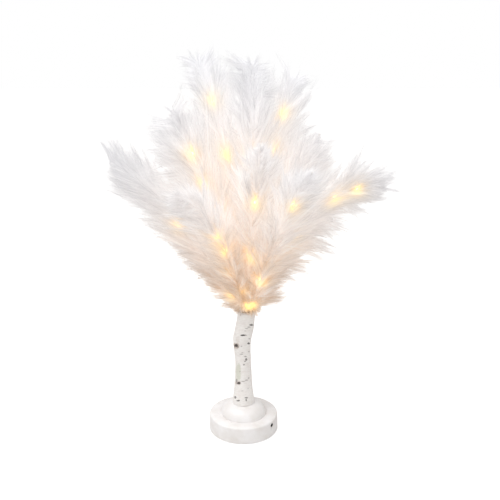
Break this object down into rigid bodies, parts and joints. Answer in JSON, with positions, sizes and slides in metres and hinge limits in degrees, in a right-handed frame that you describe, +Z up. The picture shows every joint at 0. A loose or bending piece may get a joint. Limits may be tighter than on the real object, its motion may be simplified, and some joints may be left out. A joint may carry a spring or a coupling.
{
  "type": "feather tree lamp",
  "caption": "Tabletop tree lamp: round white battery base, birch-bark trunk and a spreading crown of white feather plumes on bendable wire branches with warm micro lights.",
  "frame": {"origin": "centre of the bounding box on the table, at the base's middle to within 4 mm", "axes": "+Z up along the trunk, -Y towards the front, +X to the right as seen in the picture"},
  "size_m": [0.4287, 0.2932, 0.592],
  "materials": {
    "white_plastic": "satin moulded, warm white",
    "cream_plastic": "soft cable insulation",
    "black_plastic": "moulded black",
    "rubber": "pale non-slip ring",
    "steel": "nickel plated",
    "cell_sleeve": "printed foil sleeve, left plain",
    "green_board": "solder mask",
    "pulp": "raw light wood",
    "bark": "birch bark print on paper",
    "tape": "brown floral tape over a moulded plug",
    "stem": "steel wire wrapped in cream paper tape",
    "light": "warm white, lit",
    "feather": "soft white feather"
  },
  "bodies": {
    "lamp": {"base_shell": "white_plastic", "base_plate": "white_plastic", "foot_ring": "rubber", "battery_1": "cell_sleeve", "battery_2": "cell_sleeve", "battery_3": "cell_sleeve", "contact_positive": "steel", "contact_link_1": "steel", "contact_link_2": "steel", "contact_negative": "steel", "circuit_board": "green_board", "switch_body": "steel", "charging_socket": "black_plastic", "base_screw_1": "steel", "base_screw_2": "steel", "base_screw_3": "steel", "trunk_screw": "steel", "trunk_core": "pulp", "bark_wrap": "bark", "trunk_lead": "cream_plastic", "crown_plug": "tape", "branch_centre": "stem", "lights_centre": "light", "plume_centre": "feather", "branch_top_left": "stem", "lights_top_left": "light", "plume_top_left": "feather", "branch_top_right": "stem", "lights_top_right": "light", "plume_top_right": "feather", "branch_upper_left": "stem", "lights_upper_left": "light", "plume_upper_left": "feather", "branch_upper_right": "stem", "lights_upper_right": "light", "plume_upper_right": "feather", "branch_front": "stem", "lights_front": "light", "plume_front": "feather"},
    "battery_door": {"battery_door": "white_plastic"},
    "switch_slider": {"switch_slider": "black_plastic"},
    "spray_left": {"branch_left": "stem", "lights_left": "light", "plume_left": "feather"},
    "spray_right": {"branch_right": "stem", "lights_right": "light", "plume_right": "feather"},
    "spray_front_left": {"branch_front_left": "stem", "lights_front_left": "light", "plume_front_left": "feather"},
    "spray_front_right": {"branch_front_right": "stem", "lights_front_right": "light", "plume_front_right": "feather"},
    "spray_back_left": {"branch_back_left": "stem", "lights_back_left": "light", "plume_back_left": "feather"},
    "spray_back_right": {"branch_back_right": "stem", "lights_back_right": "light", "plume_back_right": "feather"}
  },
  "joints": [
    {"name": "battery_door_hinge", "type": "hinge", "parent": "lamp", "child": "battery_door", "pos_m": [0, 0.02695, 0.0034], "axis": [1, 0, 0], "range_deg": [0, 90]},
    {"name": "power_switch_slide", "type": "slide", "parent": "lamp", "child": "switch_slider", "axis": [1, 0, 0], "range_m": [0, 0.004]},
    {"name": "bend_left", "type": "hinge", "parent": "lamp", "child": "spray_left", "pos_m": [-0.00329, 0.00141, 0.2084], "axis": [-0.1564, -0.9877, 0], "range_deg": [0, 15]},
    {"name": "bend_right", "type": "hinge", "parent": "lamp", "child": "spray_right", "pos_m": [0.01411, -0.00293, 0.2084], "axis": [0.3256, 0.9455, 0], "range_deg": [0, 15]},
    {"name": "bend_front_left", "type": "hinge", "parent": "lamp", "child": "spray_front_left", "pos_m": [0.00044, -0.00737, 0.2084], "axis": [0.8192, -0.5736, 0], "range_deg": [0, 15]},
    {"name": "bend_front_right", "type": "hinge", "parent": "lamp", "child": "spray_front_right", "pos_m": [0.01063, -0.00746, 0.2084], "axis": [0.829, 0.5592, 0], "range_deg": [0, 15]},
    {"name": "bend_back_left", "type": "hinge", "parent": "lamp", "child": "spray_back_left", "pos_m": [-0.0003, 0.00679, 0.2084], "axis": [-0.7547, -0.6561, 0], "range_deg": [0, 15]},
    {"name": "bend_back_right", "type": "hinge", "parent": "lamp", "child": "spray_back_right", "pos_m": [0.0115, 0.00679, 0.2084], "axis": [-0.7547, 0.6561, 0], "range_deg": [0, 15]}
  ]
}
